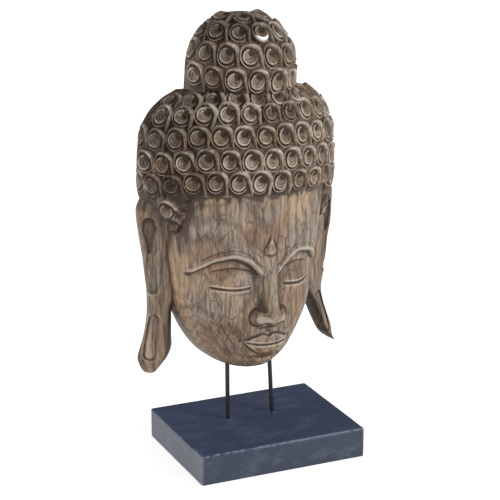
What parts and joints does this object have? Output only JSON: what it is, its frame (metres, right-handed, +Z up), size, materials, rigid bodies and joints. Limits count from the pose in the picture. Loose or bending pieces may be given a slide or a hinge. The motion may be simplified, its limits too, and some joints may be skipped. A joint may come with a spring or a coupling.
{
  "type": "carved wooden buddha mask on a stand",
  "caption": "Carved wooden mask of a calm head with curled hair, topknot and long ears, held by thin metal rods on a painted rectangular block.",
  "frame": {"origin": "the middle of the block's underside, on the surface it stands on", "axes": "+Z up, the face looks along -Y and is turned a few degrees towards +X, +X to the viewer's right"},
  "size_m": [0.3079, 0.186, 0.5992],
  "materials": {
    "carved_wood": "carved light hardwood with a worn dark wash and pale dry-brushed crests",
    "blackened_rod": "blackened mild steel rod",
    "painted_block": "wood block with a dark navy grey paint, lightly worn at the edges"
  },
  "bodies": {
    "root": {"buddha_mask": "carved_wood", "rod_left": "blackened_rod", "rod_right": "blackened_rod", "stand_block": "painted_block"}
  },
  "joints": []
}
